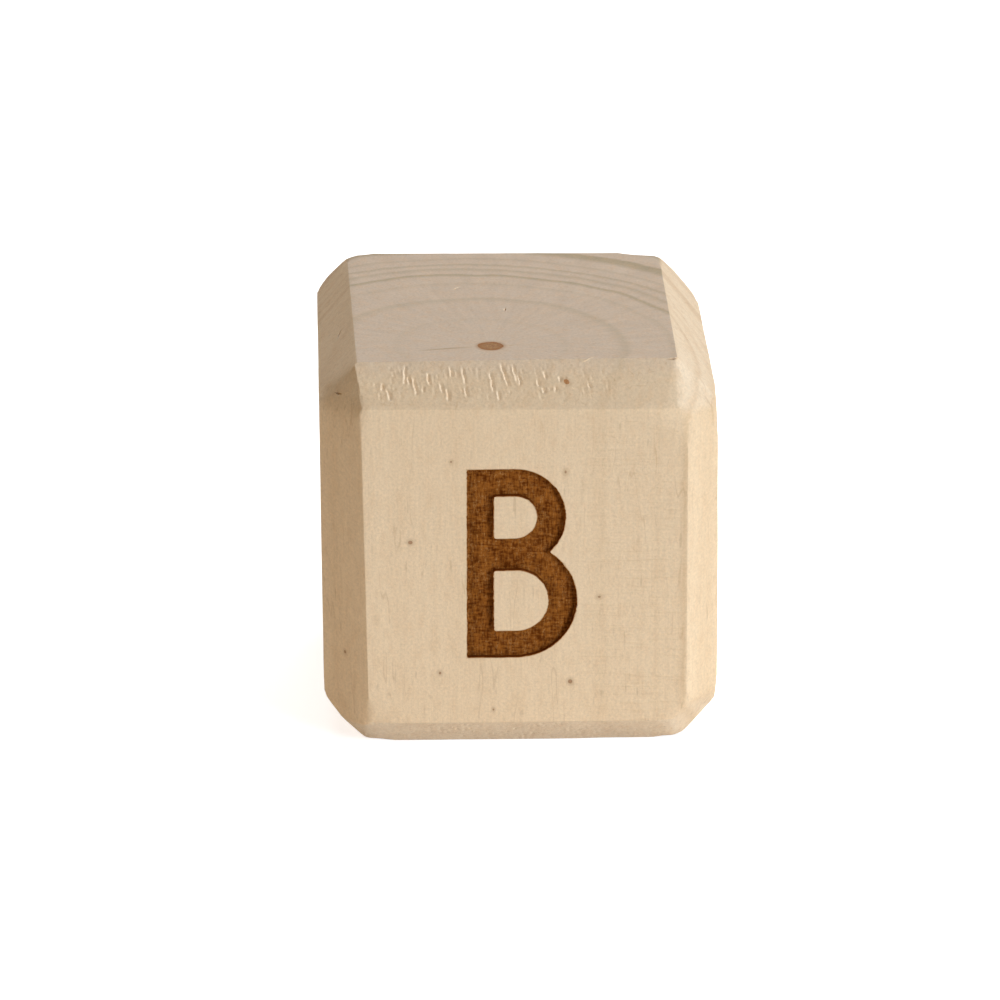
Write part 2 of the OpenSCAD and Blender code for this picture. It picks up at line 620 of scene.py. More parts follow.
class Wiring:
    """Places nodes in a tree and links them, so that a material reads as a list of steps."""

    def __init__(self, tree):
        self.tree = tree

    def feed(self, socket, value):
        if isinstance(value, bpy.types.NodeSocket):
            self.tree.links.new(value, socket)
        else:
            socket.default_value = value

    def place(self, kind, inputs=None, **options):
        node = self.tree.nodes.new(kind)
        for option, value in options.items():
            setattr(node, option, value)
        for name, value in (inputs or {}).items():
            self.feed(node.inputs[name], value)
        return node

    def calc(self, operation, *terms):
        node = self.place("ShaderNodeMath", operation=operation)
        for socket, term in zip(node.inputs, terms):
            self.feed(socket, term)
        return node.outputs["Value"]

    def vector(self, operation, *terms):
        node = self.place("ShaderNodeVectorMath", operation=operation)
        for socket, term in zip(node.inputs, terms):
            self.feed(socket, term)
        single = operation in ("DOT_PRODUCT", "LENGTH")
        return node.outputs["Value" if single else "Vector"]

    def parts(self, vector):
        node = self.place("ShaderNodeSeparateXYZ", {"Vector": vector})
        return node.outputs["X"], node.outputs["Y"], node.outputs["Z"]

    def whole(self, x, y, z):
        node = self.place("ShaderNodeCombineXYZ", {"X": x, "Y": y, "Z": z})
        return node.outputs["Vector"]

    def noise(self, vector, scale, detail=2.0, roughness=0.5):
        node = self.place(
            "ShaderNodeTexNoise",
            {"Vector": vector, "Scale": scale, "Detail": detail, "Roughness": roughness},
        )
        return node.outputs["Fac"]

    def span(self, value, low, high, to_low=0.0, to_high=1.0, kind="SMOOTHSTEP"):
        """Turns the stretch from low to high into the stretch from to_low to to_high, held at both ends."""
        node = self.place("ShaderNodeMapRange", interpolation_type=kind, clamp=True)
        for name, setting in (
            ("Value", value),
            ("From Min", low),
            ("From Max", high),
            ("To Min", to_low),
            ("To Max", to_high),
        ):
            self.feed(node.inputs[name], setting)
        return node.outputs["Result"]

    def mix(self, share, first, second, kind="MIX"):
        node = self.place("ShaderNodeMix", data_type="RGBA", blend_type=kind)
        colours = [socket for socket in node.inputs if socket.type == "RGBA"]
        self.feed(node.inputs["Factor"], share)
        self.feed(colours[0], first)
        self.feed(colours[1], second)
        return next(socket for socket in node.outputs if socket.type == "RGBA")

    def group(self, tree, inputs):
        node = self.place("ShaderNodeGroup", node_tree=tree)
        for name, value in inputs.items():
            self.feed(node.inputs[name], value)
        return node.outputs

    def in_mm(self, vector):
        """The place in mm instead of metres."""
        scaled = self.vector("SCALE", vector)
        scaled.node.inputs["Scale"].default_value = 1 / MM
        return scaled

    def bump(self, height, distance, normal=None):
        node = self.place("ShaderNodeBump", {"Height": height, "Distance": distance})
        if normal is not None:
            self.feed(node.inputs["Normal"], normal)
        return node.outputs["Normal"]


def new_group(name, vectors, values):
    """Makes a shader group from vectors to values. Returns its wiring, its inputs and its output node."""
    tree = bpy.data.node_groups.new(name, "ShaderNodeTree")
    for socket in vectors:
        tree.interface.new_socket(socket, in_out="INPUT", socket_type="NodeSocketVector")
    for socket in values:
        tree.interface.new_socket(socket, in_out="OUTPUT", socket_type="NodeSocketFloat")
    wiring = Wiring(tree)
    entry = wiring.place("NodeGroupInput")
    return wiring, entry.outputs, wiring.place("NodeGroupOutput")


def new_material(name):
    """Makes an empty material with a Principled shader. Returns it, its wiring and the shader."""
    material = bpy.data.materials.new(name)
    material.use_nodes = True
    material.node_tree.nodes.clear()
    wiring = Wiring(material.node_tree)
    shader = wiring.place("ShaderNodeBsdfPrincipled")
    wiring.place("ShaderNodeOutputMaterial", {"Surface": shader.outputs["BSDF"]})
    return material, wiring, shader


def named_group(name, build):
    """The shader group of that name, built the first time that it is asked for."""
    return bpy.data.node_groups.get(name) or build(name)


def build_pine_figure(name):
    """Growth rings round the pith, fibres along the grain, and masks of the sawn ends and slanting cuts."""
    parts = ("Latewood", "Fibre", "Streak", "Speckle", "Fleck", "Mottle", "Chatter", "Rays", "Line")
    masks = ("End grain", "Cross grain")
    wiring, entry, leave = new_group(name, ("Vector", "Normal"), parts + masks)
    place = wiring.in_mm(entry["Vector"])
    along = wiring.vector("MULTIPLY", place, (1, 1, 0.05))
    from_pith = wiring.vector("SUBTRACT", place, PITH_MIDDLE / MM)
    x, y, _ = wiring.parts(from_pith)
    radius = wiring.vector("LENGTH", wiring.whole(x, y, 0.0))
    bearing = wiring.calc("MULTIPLY", wiring.calc("ARCTAN2", y, x), 16.0)
    outward = wiring.calc("MULTIPLY", radius, 0.2)
    wiring.feed(leave.inputs["Rays"], wiring.noise(wiring.whole(bearing, outward, 0.0), 1.0, 3.0, 0.6))
    radius = wiring.calc("MULTIPLY_ADD", x, RING_STRETCH, radius)
    sway = wiring.noise(along, 0.11)
    radius = wiring.calc("ADD", radius, wiring.span(sway, 0.2, 0.8, -0.6, 0.6, "LINEAR"))
    ripple = wiring.noise(along, 0.9)
    radius = wiring.calc("ADD", radius, wiring.span(ripple, 0.2, 0.8, -0.1, 0.1, "LINEAR"))
    ramp = wiring.place(
        "ShaderNodeValToRGB", {"Fac": wiring.calc("DIVIDE", radius, RING_REACH)}
    )
    paint_rings(ramp.color_ramp)
    wiring.feed(leave.inputs["Latewood"], ramp.outputs["Color"])
    fibre = wiring.noise(along, 4.0, 3.0, 0.65)
    wiring.feed(leave.inputs["Fibre"], fibre)
    long_streaks = wiring.vector("MULTIPLY", place, (1, 1, 0.015))
    wiring.feed(leave.inputs["Streak"], wiring.noise(long_streaks, 0.7, 3.0))
    wiring.feed(leave.inputs["Speckle"], wiring.noise(place, 3.2, 4.0, 0.7))
    dashes = wiring.noise(wiring.vector("MULTIPLY", place, (1, 1, 0.2)), 1.7, 1.0)
    wiring.feed(leave.inputs["Fleck"], wiring.span(dashes, 0.7, 0.78))
    off_line = wiring.noise(wiring.vector("MULTIPLY", place, (1, 1, 0.1)), 0.45, 2.0)
    off_line = wiring.calc("ABSOLUTE", wiring.calc("SUBTRACT", off_line, 0.5))
    stretches = wiring.noise(wiring.vector("MULTIPLY", place, (1, 1, 0.5)), 0.35, 1.0)
    line = wiring.span(off_line, 0.0, 0.012, 1.0, 0.0)
    line = wiring.calc("MULTIPLY", line, wiring.span(stretches, 0.5, 0.6))
    wiring.feed(leave.inputs["Line"], line)
    drops = wiring.vector("MULTIPLY", place, (1, 1, 0.4))
    wiring.feed(leave.inputs["Mottle"], wiring.noise(drops, 1.3, 3.0, 0.6))
    rows = wiring.noise(wiring.vector("MULTIPLY", place, (0.08, 0.08, 1)), 1.6, 2.0)
    dents = wiring.noise(wiring.vector("MULTIPLY", place, (1, 1, 0.5)), 3.0, 1.0)
    chatter = wiring.calc("MULTIPLY", wiring.span(rows, 0.5, 0.62), dents)
    wiring.feed(leave.inputs["Chatter"], chatter)
    upright = wiring.calc("ABSOLUTE", wiring.parts(entry["Normal"])[2])
    ends = wiring.span(upright, 0.82, 0.95)
    wiring.feed(leave.inputs["End grain"], ends)
    slant = wiring.calc("SUBTRACT", wiring.span(upright, 0.35, 0.6), ends)
    wiring.feed(leave.inputs["Cross grain"], slant)
    return wiring.tree


def paint_rings(ramp):
    """Sets the ring bands: each darkens slowly outwards and ends sharply, or runs on into the next one."""
    stops = [(0.0, 0.0)]
    for radius, width, strength in GROWTH_RINGS:
        if stops[-1][0] > radius - width:
            stops.pop()
        else:
            stops.append((radius - width, 0.0))
        stops.append((radius - 0.25 * width, strength))
        stops.append((radius + 0.12 * width, 0.0))
    while len(ramp.elements) < len(stops):
        ramp.elements.new(1.0)
    for element, (radius, strength) in zip(ramp.elements, stops):
        element.position = radius / RING_REACH
        element.color = rgba([strength] * 3)


def build_letter_distance(name):
    """Distance in mm from the outline of the letter, below zero inside it, seen from the front."""
    settings = bpy.context.scene.letter_settings
    plan = letter_plan(settings)
    wiring, entry, leave = new_group(name, ("Vector",), ("Distance", "Depth"))
    corner = Vector((LETTER_LOW.x, FRONT_Y, LETTER_LOW.z))
    local = wiring.in_mm(wiring.vector("SUBTRACT", entry["Vector"], corner))
    x, depth, z = wiring.parts(local)
    stem = settings.stem / MM
    height = plan["height"] / MM
    beside = wiring.calc("ABSOLUTE", wiring.calc("SUBTRACT", x, stem / 2))
    beside = wiring.calc("SUBTRACT", beside, stem / 2)
    above = wiring.calc("ABSOLUTE", wiring.calc("SUBTRACT", z, height / 2))
    above = wiring.calc("SUBTRACT", above, height / 2)
    nearest = wiring.calc("MAXIMUM", beside, above)
    stroke = settings.stroke / MM
    for bowl in plan["bowls"]:
        past = wiring.calc("SUBTRACT", x, (bowl["reach"] - bowl["radius"]) / MM)
        past = wiring.calc("MAXIMUM", past, 0.0)
        rise = wiring.calc("SUBTRACT", z, bowl["middle"] / MM)
        spoke = wiring.vector("LENGTH", wiring.whole(past, rise, 0.0))
        off_line = wiring.calc("SUBTRACT", spoke, bowl["radius"] / MM - stroke / 2)
        edge = wiring.calc("SUBTRACT", wiring.calc("ABSOLUTE", off_line), stroke / 2)
        edge = wiring.calc("MAXIMUM", edge, wiring.calc("MULTIPLY", x, -1.0))
        nearest = wiring.calc("MINIMUM", nearest, edge)
    wiring.feed(leave.inputs["Distance"], nearest)
    wiring.feed(leave.inputs["Depth"], depth)
    return wiring.tree


def build_knot_distance(name):
    """Distance in mm from the side of the nearest pin knot, below zero inside it."""
    wiring, entry, leave = new_group(name, ("Vector",), ("Distance",))
    from_pith = wiring.in_mm(wiring.vector("SUBTRACT", entry["Vector"], PITH_MIDDLE))
    nearest = BLOCK_SIZE.length / MM
    for bearing, share, rise, width, stretch in PIN_KNOTS:
        ahead, across = knot_directions(bearing, rise)
        start = Vector((0, 0, (share - 0.5) * BLOCK_SIZE.z / MM))
        local = wiring.vector("SUBTRACT", from_pith, start)
        aside = wiring.vector("DOT_PRODUCT", local, across)
        behind = wiring.calc("MINIMUM", wiring.vector("DOT_PRODUCT", local, ahead), 0.0)
        upward = wiring.vector("DOT_PRODUCT", local, across.cross(ahead) / stretch)
        away = wiring.vector("LENGTH", wiring.whole(aside, upward, behind))
        nearest = wiring.calc("MINIMUM", wiring.calc("SUBTRACT", away, width / 2), nearest)
    wiring.feed(leave.inputs["Distance"], nearest)
    return wiring.tree


def pine_figure(wiring, place):
    """The figure of the wood at the piece's own place."""
    tree = named_group("Pine figure", build_pine_figure)
    return wiring.group(tree, {"Vector": place["Object"], "Normal": place["Normal"]})


def knot_distance(wiring, place):
    """How far in mm the nearest pin knot is."""
    tree = named_group("Knot distance", build_knot_distance)
    return wiring.group(tree, {"Vector": place["Object"]})["Distance"]


def grain_colour(wiring, place, figure, settings):
    """Long grain, the chamfers that cross it and the sawn ends, with the layers of the figure."""
    long_grain = wiring.mix(
        wiring.calc("MULTIPLY", figure["Latewood"], 0.55),
        rgba(settings.earlywood),
        rgba(settings.latewood),
    )
    slant_grain = wiring.mix(
        wiring.calc("MULTIPLY", figure["Latewood"], 0.36),
        rgba(settings.slant_earlywood),
        rgba(settings.slant_latewood),
    )
    end_grain = wiring.mix(
        figure["Latewood"], rgba(settings.end_earlywood), rgba(settings.end_latewood)
    )
    rays = wiring.span(figure["Rays"], 0.3, 0.7, 0.94, 1.06, "LINEAR")
    end_grain = wiring.mix(1.0, end_grain, rays, "MULTIPLY")
    up_front = (FACES["front"] + FACES["top"]).normalized()
    over_letter = wiring.span(wiring.vector("DOT_PRODUCT", place["Normal"], up_front), 0.85, 0.97)
    height = wiring.parts(place["Object"])[2]
    # Painted light: the long grain is lighter towards the foot and darker towards the top, standing in for
    # the light that the floor throws up.
    painted_floor_light = wiring.span(height, 4 * MM, 41 * MM, 1.045, 0.935, "LINEAR")
    colour = wiring.mix(1.0, long_grain, painted_floor_light, "MULTIPLY")
    # On the chamfer over the letter the pale cross-grain colour is held back and the colour darkened by 12 %:
    # partly the dull torn grain, partly painted shade.
    slant = wiring.calc("MULTIPLY", over_letter, -0.7)
    slant = wiring.calc("MULTIPLY_ADD", slant, figure["Cross grain"], figure["Cross grain"])
    colour = wiring.mix(slant, colour, slant_grain)
    dulled = wiring.calc("MULTIPLY_ADD", over_letter, -0.12, 1.0)
    colour = wiring.mix(1.0, colour, dulled, "MULTIPLY")
    frayed = wiring.span(height, BLOCK_SIZE.z - 2 * MM, BLOCK_SIZE.z, 0.0, 0.45)
    colour = wiring.mix(wiring.calc("MULTIPLY", frayed, over_letter), colour, end_grain)
    colour = wiring.mix(figure["End grain"], colour, end_grain)
    for part, low, high, to_low, to_high, tint in FIGURE_LAYERS:
        layer = wiring.span(figure[part], low, high, to_low, to_high, "LINEAR")
        if tint:
            colour = wiring.mix(layer, colour, rgba(tint))
        else:
            colour = wiring.mix(1.0, colour, layer, "MULTIPLY")
    return colour


def with_stains_and_check_shade(wiring, place, colour):
    """The colour with what stains the wood, the knots, the pith and the burn, and a dark line along the check
    beside the pith that is partly stain and partly painted shade.
    """
    halo = wiring.span(knot_distance(wiring, place), 0.0, 0.35, 0.4, 0.0)
    colour = wiring.mix(halo, colour, rgba(KNOT_HALO))
    from_axis = wiring.vector("SUBTRACT", place["Object"], PITH_MIDDLE)
    from_axis = wiring.vector("MULTIPLY", from_axis, (1, 1, 0))
    stain = wiring.span(
        wiring.vector("LENGTH", from_axis), 0.95 * PITH_RADIUS, 1.35 * PITH_RADIUS, 0.6, 0.0
    )
    colour = wiring.mix(stain, colour, rgba(PITH_STAIN))
    # The dark line along the check beside the pith: partly stain, partly painted shade in the crack.
    x, y, length, width, _, bearing = HAIR_CRACKS[0]
    turn = math.radians(bearing)
    from_check = wiring.vector("SUBTRACT", place["Object"], Vector((x, y, 0)) * MM)
    along = wiring.vector("DOT_PRODUCT", from_check, Vector((math.cos(turn), math.sin(turn), 0)))
    across = wiring.vector("DOT_PRODUCT", from_check, Vector((-math.sin(turn), math.cos(turn), 0)))
    check = wiring.span(wiring.calc("ABSOLUTE", across), 0.3 * width * MM, width * MM, 0.4, 0.0)
    ends = wiring.span(wiring.calc("ABSOLUTE", along), 0.2 * length * MM, 0.5 * length * MM, 1.0, 0.0)
    colour = wiring.mix(wiring.calc("MULTIPLY", check, ends), colour, rgba(CHECK_STAIN_AND_SHADE))
    letter = wiring.group(
        named_group("Letter distance", build_letter_distance), {"Vector": place["Object"]}
    )
    toast = wiring.span(letter["Distance"], -0.02, 0.14, 0.6, 0.0)
    near_front = wiring.span(letter["Depth"], 1.2, 1.6, 1.0, 0.0)
    toast = wiring.calc("MULTIPLY", toast, near_front)
    return wiring.mix(toast, colour, rgba(TOASTED_RIM))


def sanded_grain(wiring, place, figure):
    """The feel of the surface: raised fibres, and the planer's chatter on the right half of the front."""
    grain = wiring.bump(figure["Fibre"], 0.012 * MM)
    grain = wiring.bump(figure["Speckle"], 0.04 * MM, grain)
    planed = wiring.span(wiring.parts(place["Object"])[0], 0.0, 14 * MM)
    facing = wiring.vector("DOT_PRODUCT", place["Normal"], FACES["front"])
    planed = wiring.calc("MULTIPLY", planed, wiring.span(facing, 0.97, 0.995))
    return wiring.bump(wiring.calc("MULTIPLY", figure["Chatter"], planed), 0.08 * MM, grain)


def bare_pine():
    """Sanded, unfinished pine: rings and fibres, greyer on the sawn ends, toasted round the letter."""
    ready = bpy.data.materials.get("Bare pine")
    if ready:
        return ready
    material, wiring, shader = new_material("Bare pine")
    place = wiring.place("ShaderNodeTexCoord").outputs
    figure = pine_figure(wiring, place)
    colour = grain_colour(wiring, place, figure, bpy.context.scene.timber_settings)
    wiring.feed(shader.inputs["Base Color"], with_stains_and_check_shade(wiring, place, colour))
    rough = wiring.span(figure["Fibre"], 0.2, 0.8, 0.58, 0.74, "LINEAR")
    wiring.feed(shader.inputs["Roughness"], rough)
    shader.inputs["Specular IOR Level"].default_value = 0.3
    wiring.feed(shader.inputs["Normal"], sanded_grain(wiring, place, figure))
    return material


def charred_pine():
    """Burnt wood: a fine weave of scorched passes and fibres, with ochre threads, and walls darkened towards
    the dark char, partly deeper burn and partly painted shade.
    """
    settings = bpy.context.scene.letter_settings
    material, wiring, shader = new_material("Charred pine")
    place = wiring.place("ShaderNodeTexCoord").outputs
    point = wiring.in_mm(place["Object"])
    passes = wiring.noise(wiring.vector("MULTIPLY", point, (0.3, 1, 1)), 4.6, 2.0)
    fibres = wiring.noise(wiring.vector("MULTIPLY", point, (1, 1, 0.2)), 5.2, 2.0)
    patches = wiring.noise(point, 0.8, 2.0)
    weave = wiring.calc("ADD", passes, fibres)
    tone = wiring.calc("ADD", weave, wiring.calc("MULTIPLY", patches, 0.4))
    light = wiring.span(tone, 0.93, 1.47, 0.0, 1.0, "LINEAR")
    colour = wiring.mix(light, rgba(settings.char_dark), rgba(settings.char_light))
    hairs = wiring.noise(wiring.vector("MULTIPLY", point, (1, 1, 0.45)), 1.9, 3.0, 0.6)
    off_line = wiring.calc("ABSOLUTE", wiring.calc("SUBTRACT", hairs, 0.5))
    thread = wiring.calc("MULTIPLY", wiring.span(off_line, 0.0, 0.02, 0.7, 0.0), light)
    colour = wiring.mix(thread, colour, rgba(CHAR_THREADS))
    # The walls of the recess are darkened towards the dark char: partly deeper burn, partly painted shade.
    facing = wiring.calc("ABSOLUTE", wiring.parts(place["Normal"])[1])
    wall = wiring.span(facing, 0.25, 0.7, 0.7, 0.0)
    colour = wiring.mix(wall, colour, rgba(settings.char_dark))
    wiring.feed(shader.inputs["Base Color"], colour)
    wiring.feed(shader.inputs["Roughness"], wiring.span(weave, 0.8, 1.2, 0.8, 0.95))
    shader.inputs["Specular IOR Level"].default_value = 0.03
    wiring.feed(shader.inputs["Normal"], wiring.bump(weave, 0.06 * MM))
    return material


def pith_wood():
    """Soft core: a mottled orange middle in a darker rim."""
    settings = bpy.context.scene.timber_settings
    material, wiring, shader = new_material("Pith")
    place = wiring.place("ShaderNodeTexCoord").outputs
    figure = pine_figure(wiring, place)
    from_axis = wiring.vector("SUBTRACT", place["Object"], PITH_MIDDLE)
    x, y, _ = wiring.parts(from_axis)
    radius = wiring.vector("LENGTH", wiring.whole(x, y, 0.0))
    rim = wiring.span(radius, 0.45 * PITH_RADIUS, 1.0 * PITH_RADIUS, 0.0, 0.9)
    core = wiring.span(figure["Speckle"], 0.42, 0.58, 0.0, 1.0)
    colour = wiring.mix(core, rgba(PITH_DARK), rgba(PITH_LIGHT))
    colour = wiring.mix(rim, colour, rgba(settings.pith_colour))
    wiring.feed(shader.inputs["Base Color"], colour)
    wiring.feed(shader.inputs["Roughness"], wiring.span(figure["Speckle"], 0.3, 0.7, 0.7, 0.95))
    wiring.feed(shader.inputs["Normal"], wiring.bump(figure["Speckle"], 0.08 * MM))
    return material


def knot_wood():
    """Hard pin knots: brown with a dark edge, redder on the chamfer."""
    settings = bpy.context.scene.timber_settings
    material, wiring, shader = new_material("Knot wood")
    place = wiring.place("ShaderNodeTexCoord").outputs
    figure = pine_figure(wiring, place)
    edge = wiring.span(knot_distance(wiring, place), -0.25, 0.0, 0.0, 0.6)
    colour = wiring.mix(edge, rgba(settings.knot_colour), rgba(KNOT_EDGE))
    high = wiring.span(wiring.parts(place["Object"])[2], 36 * MM, 38 * MM)
    colour = wiring.mix(high, colour, rgba(HIGH_KNOT))
    specks = wiring.span(figure["Speckle"], 0.4, 0.7, 0.0, 0.4)
    colour = wiring.mix(specks, colour, rgba(KNOT_SPECKS))
    wiring.feed(shader.inputs["Base Color"], colour)
    wiring.feed(shader.inputs["Roughness"], wiring.span(figure["Speckle"], 0.3, 0.7, 0.45, 0.65))
    wiring.feed(shader.inputs["Normal"], wiring.bump(figure["Speckle"], 0.03 * MM))
    return material


# The block


def sawn_blank(name):
    """A cube with its hand-cut chamfers and corners, all edges still sharp."""
    bpy.ops.mesh.primitive_cube_add(size=1, location=BLOCK_MIDDLE, scale=BLOCK_SIZE)
    blank = named_primitive(name)
    open_mesh(blank)
    for face, foot, head in LEANING_FACES:
        outward = FACES[face]
        foot_point = BLOCK_MIDDLE + BLOCK_SIZE * (outward + FACES["underside"]) / 2
        lean = (head - foot) * MM / BLOCK_SIZE.z
        slice_off(foot_point - outward * foot * MM, outward + FACES["top"] * lean)
    for first, second, low_leg, high_leg in CHAMFERS:
        outward = FACES[first] + FACES[second]
        along = FACES[first].cross(FACES[second])
        along = Vector([abs(share) for share in along])
        length = BLOCK_SIZE.dot(along)
        edge_start = BLOCK_MIDDLE + BLOCK_SIZE * outward / 2 - along * length / 2
        slice_off(
            edge_start - FACES[first] * low_leg * MM,
            outward + along * (high_leg - low_leg) * MM / length,
        )
    for *faces, turns, cut, _, _, _ in CORNERS:
        outward = sum((FACES[face] * turn for face, turn in zip(faces, turns)), Vector()).normalized()
        slice_off(corner_point(*faces) - outward * cut * MM, outward)
    close_mesh()
    return blank


def corner_point(*faces):
    """Where three faces of the block would meet if nothing were cut off."""
    return BLOCK_MIDDLE + BLOCK_SIZE * sum((FACES[face] for face in faces), Vector()) / 2


def slice_off(point, outward):
    """Cuts the open mesh flat at the point and throws away what lies outward of it."""
    bpy.ops.mesh.select_all(action="SELECT")
    bpy.ops.mesh.bisect(
        plane_co=point,
        plane_no=outward.normalized(),
        use_fill=True,
        clear_outer=True,
        threshold=CUT_TOLERANCE,
    )


def cut_grid(piece, pitch):
    """Cuts the faces of the piece into a grid, so that their surface can be worked on."""
    open_mesh(piece)
    for axis in (FACES["right"], FACES["back"], FACES["top"]):
        count = round(BLOCK_SIZE.dot(axis) / pitch)
        for step in range(1, count):
            bpy.ops.mesh.select_all(action="SELECT")
            bpy.ops.mesh.bisect(
                plane_co=BLOCK_LOW + BLOCK_SIZE * step / count,
                plane_no=axis,
                threshold=CUT_TOLERANCE,
            )
    close_mesh()


def soften(piece, test, repeat):
    """Sands the faces that pass the test."""
    open_faces(piece, test)
    bpy.ops.mesh.vertices_smooth(factor=0.5, repeat=repeat)
    close_mesh()


def soften_corner(body, row):
    """Sands one corner over.

    The sawn top stays flat at the front corners. A crisp corner is sanded only where it turns to the side.
    """
    *faces, _, _, reach, passes, crisp = row
    front, side, end = faces
    point = corner_point(*faces)
    least, most = (0.55, 0.85) if crisp else (-1, 1.1)

    def dulled(polygon):
        near = (polygon.center - point).length < reach * MM
        sawn = (front, end) == ("front", "top") and polygon.normal.dot(FACES[end]) > 0.95
        return near and not sawn and least < polygon.normal.dot(FACES[side]) < most

    soften(body, dulled, passes)


def sanded_body(settings):
    """The blank with rounded edges, soft corners and faces that are a little out of flat."""
    body = sawn_blank("timber_body")
    apply_modifier(
        body,
        "BEVEL",
        width=settings.edge_rounding,
        segments=3,
        limit_method="ANGLE",
        angle_limit=math.radians(10),
    )
    cut_grid(body, settings.skin_pitch)
    for row in CORNERS:
        soften_corner(body, row)
    chamfer = chamfer_frame("front", "top")
    lower_edge = -chamfer.slope / MM / 2

    def dulled(polygon):
        _, up, above = chamfer_place(chamfer, polygon.center)
        near = math.hypot(up - lower_edge, above) < settings.worn_edge / MM
        return near and abs(polygon.normal.x) < 0.3

    soften(body, dulled, repeat=12)
    roughen(body, 14 * MM, settings.hand_wave)
    roughen(body, 3 * MM, 0.25 * settings.hand_wave)
    return body


Chamfer = namedtuple("Chamfer", "middle along up_slope outward slope")


def chamfer_frame(first, second):
    """The middle of a chamfer's slope, the ways along the edge, up the slope and outward, and its width."""
    legs = next(row[2:] for row in CHAMFERS if row[:2] == (first, second))
    leg = sum(legs) / 2 * MM
    outward = (FACES[first] + FACES[second]).normalized()
    up_slope = (FACES[second] - FACES[first]).normalized()
    along = Vector((1, 0, 0))
    edge = BLOCK_MIDDLE + BLOCK_SIZE * (FACES[first] + FACES[second]) / 2
    middle = edge - outward * leg / math.sqrt(2)
    return Chamfer(middle, along, up_slope, outward, leg * math.sqrt(2))


def chamfer_place(chamfer, point):
    """Where a point lies on a chamfer in mm: along it, up its slope from the middle, and above it."""
    local = (point - chamfer.middle) / MM
    return local.dot(chamfer.along), local.dot(chamfer.up_slope), local.dot(chamfer.outward)


def on_chamfer(chamfer, point, share):
    """Whether a point lies on the middle share of a chamfer's slope, clear of its ends."""
    along, up, above = chamfer_place(chamfer, point)
    clear_end = 4
    skin = 0.6
    half_length = BLOCK_SIZE.x / 2 / MM - clear_end
    half_slope = chamfer.slope / MM / 2
    return abs(along) < half_length and abs(up) < share * half_slope and abs(above) < skin


def refine_chamfer(body, chamfer, cuts, right_end):
    """Splits the faces of a chamfer more finely, from its left end to a place in mm from its middle."""

    def chosen(polygon):
        along = chamfer_place(chamfer, polygon.center)[0]
        return along < right_end and on_chamfer(chamfer, polygon.center, TORN_SHARE)

    open_faces(body, chosen)
    bpy.ops.mesh.subdivide(number_cuts=cuts)
    close_mesh()


def sliver_relief(sliver, along, up):
    """How deep a torn sliver is at a place, as a share. Its left wall is steep and its right side slopes."""
    offset, rise, length, width, lean, deep = sliver
    turn = math.radians(lean)
    ahead = (along - offset) * math.sin(turn) + (up - rise) * math.cos(turn)
    taper = 1 - (2 * ahead / length) ** 2
    if taper <= 0:
        return 0
    aside = (along - offset) * math.cos(turn) - (up - rise) * math.sin(turn)
    aside += SLIVER_SWAY * math.sin(5 * ahead + offset)
    if aside > 0:
        return deep * taper * max(0, 1 - aside / width)
    lip = math.exp(-((aside + LIP_OFFSET) / LIP_WIDTH) ** 2)
    return deep * taper * (max(0, 1 + aside / SLIVER_WALL) - LIP_SHARE * lip)


def carve_slivers(body, chamfer, slivers, depth):
    """Presses torn slivers into a chamfer that has been split finely."""
    for point in body.data.vertices:
        if not on_chamfer(chamfer, point.co, TORN_SHARE):
            continue
        along, up, _ = chamfer_place(chamfer, point.co)
        near = [sliver for sliver in slivers if abs(sliver[0] - along) < SLIVER_REACH]
        reliefs = [sliver_relief(sliver, along, up) for sliver in near]
        point.co -= chamfer.outward * (max(reliefs, default=0) + min(reliefs + [0])) * depth


def tear_grain(body, settings):
    """Tears slivers out of the chamfer over the letter and small pits out of the one under it."""
    chance = random.Random(GRAIN_SEED)
    over = chamfer_frame("front", "top")
    under = chamfer_frame("front", "underside")
    slope = over.slope / MM
    slivers = [
        (
            offset,
            (share - 0.5) * slope,
            1.2 * length,
            chance.uniform(0.3, 0.42),
            lean,
            chance.uniform(0.8, 1.1),
        )
        for offset, share, length, lean in TORN_SLIVERS
    ]
    for _ in range(SHALLOW_SLIVERS):
        rise = chance.uniform(-0.25, 0.35) * slope
        length = chance.uniform(0.4, 1.3)
        slivers.append((chance.uniform(-16.5, 10), rise, length, chance.uniform(0.2, 0.35), -10, 0.3))
    refine_chamfer(body, over, cuts=3, right_end=20)
    refine_chamfer(body, over, cuts=1, right_end=11)
    carve_slivers(body, over, slivers, settings.sliver_depth)
    pits = []
    for _ in range(PITS):
        rise = chance.uniform(-0.45, 0.45) * under.slope / MM
        length = chance.uniform(0.25, 0.7)
        offset = chance.triangular(-17, 17, 9)
        pits.append((offset, rise, length, chance.uniform(0.15, 0.3), chance.uniform(-40, 40), 0.6))
    refine_chamfer(body, under, cuts=3, right_end=20)
    carve_slivers(body, under, pits, settings.sliver_depth)
    fuzzy = group_of(
        body, "fuzzy", lambda point: on_chamfer(over, point, 1.03) or on_chamfer(under, point, 0.85)
    )
    roughen(body, 0.5 * MM, 0.07 * MM, group=fuzzy)


